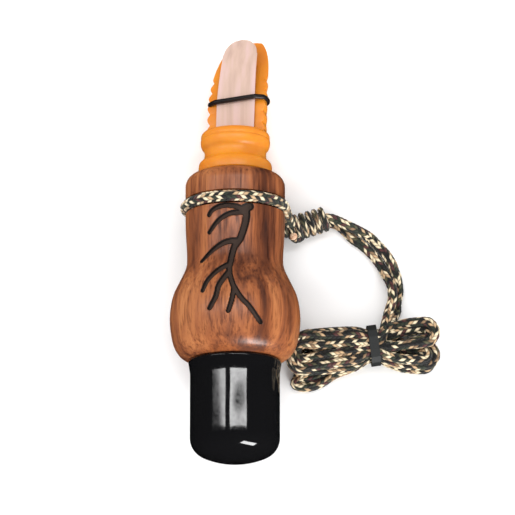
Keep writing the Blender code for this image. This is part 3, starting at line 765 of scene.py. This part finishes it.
def make_end_cap():
    straight = CAP_RIM - CAP_FLARE
    flare = [(9.0, straight), (CAP_LENGTH - 5, straight)]
    flare += smooth([
        (CAP_LENGTH - 3.5, straight + 0.03),
        (CAP_LENGTH - 1.8, CAP_RIM - 0.2),
        (CAP_LENGTH - 0.7, CAP_RIM),
    ], 5)
    lip = arc(CAP_LENGTH - 0.5, CAP_RIM - 0.5, 0.5, 90, 0, 5)
    outside = cap_shell(0) + flare + lip
    inside = cap_shell(CAP_WALL) + [(CAP_LENGTH, straight - CAP_WALL)]
    bm = turned(outside + inside[::-1], 128)
    bmesh.ops.recalc_face_normals(bm, faces=bm.faces)
    made, nodes, links, shader = new_material("black_vinyl")
    shader.inputs["Base Color"].default_value = (0.0045, 0.0045, 0.005, 1)
    # The dipped skin is wavy on the right only
    dips = noise(nodes, links, call_coordinates(nodes, links, (1, 0.8, 1)), 105, 0, 0.5)
    place = nodes.new("ShaderNodeSeparateXYZ")
    links.new(call_coordinates(nodes, links), place.inputs["Vector"])
    right = nodes.new("ShaderNodeMapRange")
    right.interpolation_type = "SMOOTHSTEP"
    right.inputs["From Min"].default_value = -0.003
    right.inputs["From Max"].default_value = 0.001
    links.new(place.outputs["X"], right.inputs["Value"])
    dips = maths(nodes, links, "MULTIPLY", dips, right.outputs["Result"])
    fine = noise(nodes, links, call_coordinates(nodes, links), 900, 3, 0.5)
    rough = ramp(nodes, [(0.3, (0.05, 0.05, 0.05)), (0.7, (0.10, 0.10, 0.10))])
    links.new(fine, rough.inputs["Fac"])
    links.new(rough.outputs["Color"], shader.inputs["Roughness"])
    bump(nodes, links, dips, 0.3, 0.00035, shader)
    add("vinyl_cap", bm, "end_cap", "black_vinyl", made, "end_cap")


make_end_cap()


# Mouthpiece base
FACE = 101.5
BASE_START, TENON_START, TENON_RADIUS, TENON_BORE = 88.5, 70.0, 9.6, 7.1


def make_orange():
    made, nodes, links, shader = new_material("orange_plastic")
    cloud = noise(nodes, links, call_coordinates(nodes, links), 160, 3, 0.5)
    colours = ramp(nodes, [(0.3, (0.61, 0.180, 0.008)), (0.7, (0.68, 0.24, 0.013))])
    links.new(cloud, colours.inputs["Fac"])
    links.new(colours.outputs["Color"], shader.inputs["Base Color"])
    shader.inputs["Subsurface Weight"].default_value = 0.15
    shader.inputs["Subsurface Radius"].default_value = (1.0, 0.35, 0.05)
    shader.inputs["Subsurface Scale"].default_value = 0.0022
    speckle = noise(nodes, links, call_coordinates(nodes, links), 2600, 2, 0.5)
    rough = ramp(nodes, [(0.3, (0.30, 0.30, 0.30)), (0.7, (0.40, 0.40, 0.40))])
    links.new(speckle, rough.inputs["Fac"])
    links.new(rough.outputs["Color"], shader.inputs["Roughness"])
    bump(nodes, links, speckle, 0.12, 0.00008, shader)
    return made


def make_base(orange):
    groove = TENON_RADIUS - 1.4
    tenon = [(TENON_START, TENON_RADIUS - 0.4), (TENON_START + 0.4, TENON_RADIUS)]
    for offset in (4.2, 11.2):
        left = TENON_START + offset - 1.05
        tenon += [(left, TENON_RADIUS), (left, groove), (left + 2.1, groove), (left + 2.1, TENON_RADIUS)]
    flange = [(BASE_START, TENON_RADIUS), (BASE_START, 10.9)]
    flange += arc(BASE_START + 0.35, 10.75, 0.35, 180, 90, 4)
    flange += smooth([
        (90.2, 11.1), (90.9, 11.05), (91.6, 10.85), (92.15, 10.45), (92.6, 9.85), (93.1, 9.5), (93.9, 9.34),
        (94.9, 9.3), (95.7, 9.45), (96.2, 9.8), (96.7, 10.15), (97.5, 10.4), (98.4, 10.5), (98.95, 10.44),
        (99.2, 10.28), (99.45, 10.36), (100.0, 10.4), (100.6, 10.25), (101.05, 9.95), (101.35, 9.6),
        (FACE, 9.2),
    ], 4)
    bore = [(FACE, TENON_BORE), (TENON_START, TENON_BORE)]
    bm = turned(tenon + flange + bore, 128)
    bmesh.ops.recalc_face_normals(bm, faces=bm.faces)
    add("mouthpiece", bm, "mouthpiece", "orange_plastic", orange, "mouthpiece_base")


orange = make_orange()
make_base(orange)


# Tone board
BOARD_START, BOARD_END, SHANK_START = 101.8, 132.8, 88.2
BOARD_RADIUS, SHANK_RADIUS, SEAT, SEAT_BREAK = 9.3, 6.8, 0.5, 110.4
PITCH, NOTCHES, NOTCH_DEPTH, NOTCH_SPREAD = 3.5, 5, 0.9, 35.0
CHANNEL_HALF, CHANNEL_FLOOR, CHANNEL_END = 3.2, 4.2, 125.4
SEAT_FIRST, SEAT_LAST = tan(radians(14.0)), tan(radians(28.1))  # its slopes at the break and at the end
BOARD_ROUNDING = 0.6
BAND_STATION, BAND_SLANT, BAND_SECTION, BAND_SUNK = 111.8, 4.2, 1.5, 0.5
REED_START, REED_END, REED_HALF, REED_TIP = 89.0, 132.4, 6.1, 5.3
REED_BOTTOM, REED_THICKNESS = 0.8, 0.32


def seat_height(station):
    run = max(0.0, station - SEAT_BREAK)
    return SEAT - SEAT_FIRST * run - (SEAT_LAST - SEAT_FIRST) / 2 * run**2 / (BOARD_END - SEAT_BREAK)


def make_board(orange):
    """Rings of the half-round section: round the underside, then back over the seat and the channel."""
    first = BOARD_START + 1.0
    stations = [
        (SHANK_START, SHANK_RADIUS),
        (BOARD_START - 0.02, SHANK_RADIUS),
        (BOARD_START, BOARD_RADIUS - 0.6),
        (BOARD_START + 0.2, BOARD_RADIUS - 0.15),
        (BOARD_START + 0.5, BOARD_RADIUS),
    ]
    count = 110
    for i in range(1, count + 1):
        station = BOARD_START + 0.5 + (BOARD_END - BOARD_START - 0.5) * i / count
        left = BOARD_END - station
        radius = BOARD_RADIUS
        if left < BOARD_ROUNDING:
            radius -= BOARD_ROUNDING - sqrt(max(0.0, BOARD_ROUNDING**2 - (BOARD_ROUNDING - left)**2))
        stations.append((station, radius))
    steps = 56
    bm = bmesh.new()
    rings = []
    for station, radius in stations:
        height = seat_height(station)
        edge = asin(height / radius)
        along = (station - first) / PITCH
        notch = 1 - abs(cos(pi * along)) if 0 < along < NOTCHES else 0
        ring = []
        for i in range(steps + 1):
            down = (pi + 2 * edge) * i / steps
            fade = max(0.0, 1 - degrees(min(down, pi + 2 * edge - down)) / NOTCH_SPREAD)
            size = radius - NOTCH_DEPTH * notch * fade
            angle = edge - down
            ring.append((size * cos(angle), size * sin(angle)))
        half = CHANNEL_HALF
        if station > CHANNEL_END - half:
            half = sqrt(max(0.0, half**2 - (station - CHANNEL_END + half)**2))
        half = max(half, 0.02)
        floor = -CHANNEL_FLOOR if half > 0.3 else height - 0.02
        left_edge, right_edge = ring[-1][0], ring[0][0]
        across = [(left_edge * 0.985, height), (left_edge * 0.6 - half * 0.4, height), (-half - 0.15, height),
                  (-half, height - 0.15), (-half, floor + 0.3), (-half * 0.8, floor), (half * 0.8, floor),
                  (half, floor + 0.3), (half, height - 0.15), (half + 0.15, height),
                  (right_edge * 0.6 + half * 0.4, height), (right_edge * 0.985, height)]
        ring += across
        rings.append([bm.verts.new(BOARD @ Vector((x, station - MIDDLE, z))) for x, z in ring])
    for a, b in zip(rings, rings[1:]):
        for i in range(len(a)):
            j = (i + 1) % len(a)
            bm.faces.new((a[i], a[j], b[j], b[i]))
    bm.faces.new(rings[0][::-1])
    bm.faces.new(rings[-1])
    bmesh.ops.recalc_face_normals(bm, faces=bm.faces)
    add("tone_board_fine", bm, "tone_board", "orange_plastic", orange, "tone_board")


make_board(orange)


# Reed: one film, from under the collar over the tuning band's line to its rounded tip
def make_reed():
    made, nodes, links, shader = new_material("frosted_mylar")
    streaks = noise(nodes, links, call_coordinates(nodes, links, (1, 0.04, 1)), 420, 3, 0.5)
    colours = ramp(nodes, [(0.3, (0.50, 0.34, 0.28)), (0.5, (0.60, 0.42, 0.34)), (0.7, (0.66, 0.46, 0.43))])
    links.new(streaks, colours.inputs["Fac"])
    links.new(colours.outputs["Color"], shader.inputs["Base Color"])
    shader.inputs["Roughness"].default_value = 0.42
    shader.inputs["Alpha"].default_value = 0.9
    frost = noise(nodes, links, call_coordinates(nodes, links), 3800, 2, 0.5)
    bump(nodes, links, frost, 0.15, 0.00005, shader)

    rows = []
    count = 90
    for i in range(count + 1):
        station = REED_START + (REED_END - REED_START) * i / count
        run = max(0.0, station - BAND_STATION)
        drop = run * tan(radians(3.0)) + 0.007 * run**2
        width = REED_HALF - 0.8 * run / (REED_END - BAND_STATION)
        left = REED_END - station
        if left < REED_TIP:
            width = min(width, sqrt(max(0.0, REED_TIP**2 - (REED_TIP - left)**2)))
        rows.append((station, max(width, 0.05), REED_BOTTOM - drop))
    bm = bmesh.new()
    rings = []
    across = 12
    for station, half, height in rows:
        top = [(half * (2 * j / across - 1), height + REED_THICKNESS) for j in range(across + 1)]
        under = [(x, height) for x, _ in top[::-1]]
        rings.append([bm.verts.new(BOARD @ Vector((x, station - MIDDLE, z))) for x, z in top + under])
    for a, b in zip(rings, rings[1:]):
        for i in range(len(a)):
            j = (i + 1) % len(a)
            bm.faces.new((a[i], a[j], b[j], b[i]))
    bm.faces.new(rings[0][::-1])
    bm.faces.new(rings[-1])
    bmesh.ops.recalc_face_normals(bm, faces=bm.faces)
    reed = add("reed", bm, None, "frosted_mylar", made, "reed_root", "reed_blade")
    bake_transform(reed)


make_reed()


# Rubber: the tuning band, the tenon's seals and the hank's tie
def make_rubber(name, colour, scale, roughness):
    made, nodes, links, shader = new_material(name)
    shader.inputs["Base Color"].default_value = (*colour, 1)
    grain = noise(nodes, links, call_coordinates(nodes, links), scale, 3, 0.6)
    rough = ramp(nodes, [(0.3, (roughness,) * 3), (0.7, (roughness + 0.12,) * 3)])
    links.new(grain, rough.inputs["Fac"])
    links.new(rough.outputs["Color"], shader.inputs["Roughness"])
    bump(nodes, links, grain, 0.2, 0.0001, shader)
    return made


def band_line():
    """The band's centre line, stretched round the reed and the board's notched underside."""
    clear = 0.23
    reed_top = REED_BOTTOM + REED_THICKNESS + clear
    inside = [(-REED_HALF, reed_top), (REED_HALF, reed_top)]
    for i in range(181):
        below = min(i, 180 - i)
        radius = BOARD_RADIUS - BAND_SUNK - NOTCH_DEPTH * max(0.0, 1 - below / NOTCH_SPREAD)
        inside.append((radius * cos(radians(i)), -radius * sin(radians(i))))
    hull = []
    for i in range(180):
        across, up = cos(2 * pi * i / 180), sin(2 * pi * i / 180)
        x, z = max(inside, key=lambda p: p[0] * across + p[1] * up)
        x, z = x + across * BAND_SECTION / 2, z + up * BAND_SECTION / 2
        hull.append(BOARD @ Vector((x, BAND_STATION - MIDDLE + x * tan(radians(BAND_SLANT)), z)))
    return even(hull, 0.35, closed=True)


def make_band(rubber):
    places = band_line()
    around = 16
    bm = bmesh.new()
    rings = []
    for place, (side, up) in zip(places, frames_along(places, closed=True)):
        rings.append([bm.verts.new(place + (side * cos(a) + up * sin(a)) * BAND_SECTION / 2)
                      for a in (2 * pi * j / around for j in range(around))])
    # The last ring may be turned against the first, so the faces between them start at the nearest point
    twist = min(range(around), key=lambda k: (rings[-1][0].co - rings[0][k].co).length)
    for i in range(len(rings)):
        a, b = rings[i], rings[(i + 1) % len(rings)]
        shift = twist if i == len(rings) - 1 else 0
        for j in range(around):
            k = (j + 1) % around
            bm.faces.new((a[j], a[k], b[(j + 1 + shift) % around], b[(j + shift) % around]))
    bmesh.ops.recalc_face_normals(bm, faces=bm.faces)
    add("tuning_ring", bm, "tuning_band", "black_rubber", rubber, "tuning_band")


def dress(name, surface):
    """Gives a CAD piece, which stays as it is, a better material."""
    materials = frame["nodes"][name].data.materials
    materials.clear()
    materials.append(surface)


rubber = make_rubber("black_rubber", (0.012, 0.008, 0.008), 1800, 0.4)
make_band(rubber)
dress("tenon_seal_inner", rubber)
dress("tenon_seal_outer", rubber)
dress("reed_wedge", orange)
dress("hank_tie", make_rubber("tie_rubber", (0.016, 0.018, 0.018), 2200, 0.5))


# Studio
def make_floor():
    bm = bmesh.new()
    bmesh.ops.create_grid(bm, x_segments=1, y_segments=1, size=3)
    mesh = bpy.data.meshes.new("floor")
    bm.to_mesh(mesh)
    bm.free()
    floor = bpy.data.objects.new("floor", mesh)
    bpy.context.scene.collection.objects.link(floor)
    made, nodes, links, shader = new_material("floor")
    shader.inputs["Base Color"].default_value = (0.92, 0.92, 0.92, 1)
    shader.inputs["Roughness"].default_value = 0.9
    shader.inputs["Specular IOR Level"].default_value = 0.1
    mesh.materials.append(made)
    floor.visible_glossy = False


def softbox(name, centre, across, along, aim, radiance, glossy=True):
    """A rectangular light, across by along in metres, that faces a point and shines with the radiance."""
    data = bpy.data.lights.new(name, "AREA")
    data.shape = "RECTANGLE"
    data.size = across
    data.size_y = along
    data.energy = radiance * pi * across * along
    lamp = bpy.data.objects.new(name, data)
    bpy.context.scene.collection.objects.link(lamp)
    away = (centre - aim).normalized()
    side = Vector((away.z, 0, -away.x)).normalized()
    turn = Matrix((side, away.cross(side), away)).transposed().to_4x4()
    lamp.matrix_world = Matrix.Translation(centre) @ turn
    lamp.visible_glossy = glossy


def mirrored(station, angle, lean=0.0, distance=1.1):
    """The place that shows in the cap's gloss, at a station and an angle round from its top."""
    turn = CALL.to_3x3()
    size = CAP_RIM - CAP_FLARE
    normal = turn @ Vector((sin(angle) * cos(lean), -sin(lean), cos(angle) * cos(lean)))
    place = CALL @ Vector((size * sin(angle), station - MIDDLE, size * cos(angle))) * MM
    view = (camera.location - place).normalized()
    return place + (2 * normal.dot(view) * normal - view) * distance


def mirror_box(name, first, last, left, right, radiance, leans=(0, 0)):
    """A light that shows in the cap between two stations, and between two angles in degrees."""
    ends = []
    for station, lean in zip((first, last), leans):
        ends.append([mirrored(station, radians(angle), radians(lean)) for angle in (left, right)])
    centre = sum((p for pair in ends for p in pair), Vector()) / 4
    across = (ends[0][1] - ends[0][0]).length
    along = (ends[1][0] - ends[0][0]).length
    aim = CALL @ Vector((0, (first + last) / 2 - MIDDLE, 0)) * MM
    softbox(name, centre, across, along, aim, radiance)


make_floor()
mirror_box("left_box", 10.2, 34.5, -29, -12, 12.0)
mirror_box("middle_box", 3.6, 34.5, -7, 15, 15.0)
mirror_box("corner_box", 3.0, 3.7, 8, 32, 20.0, leans=(41, 34))
softbox("side_box", Vector((-1.1, 0.3, 0.45)), 0.7, 0.9, Vector(), 0.7, glossy=False)
softbox("overhead", Vector((-0.35, 0.15, 1.3)), 0.9, 0.9, Vector(), 0.8, glossy=False)
world = bpy.data.worlds.new("studio")
world.use_nodes = True
background = world.node_tree.nodes["Background"]
background.inputs["Color"].default_value = (1, 1, 1, 1)
background.inputs["Strength"].default_value = 1.15
bpy.context.scene.world = world
world.cycles_visibility.glossy = False
bpy.context.scene.view_settings.view_transform = "Standard"
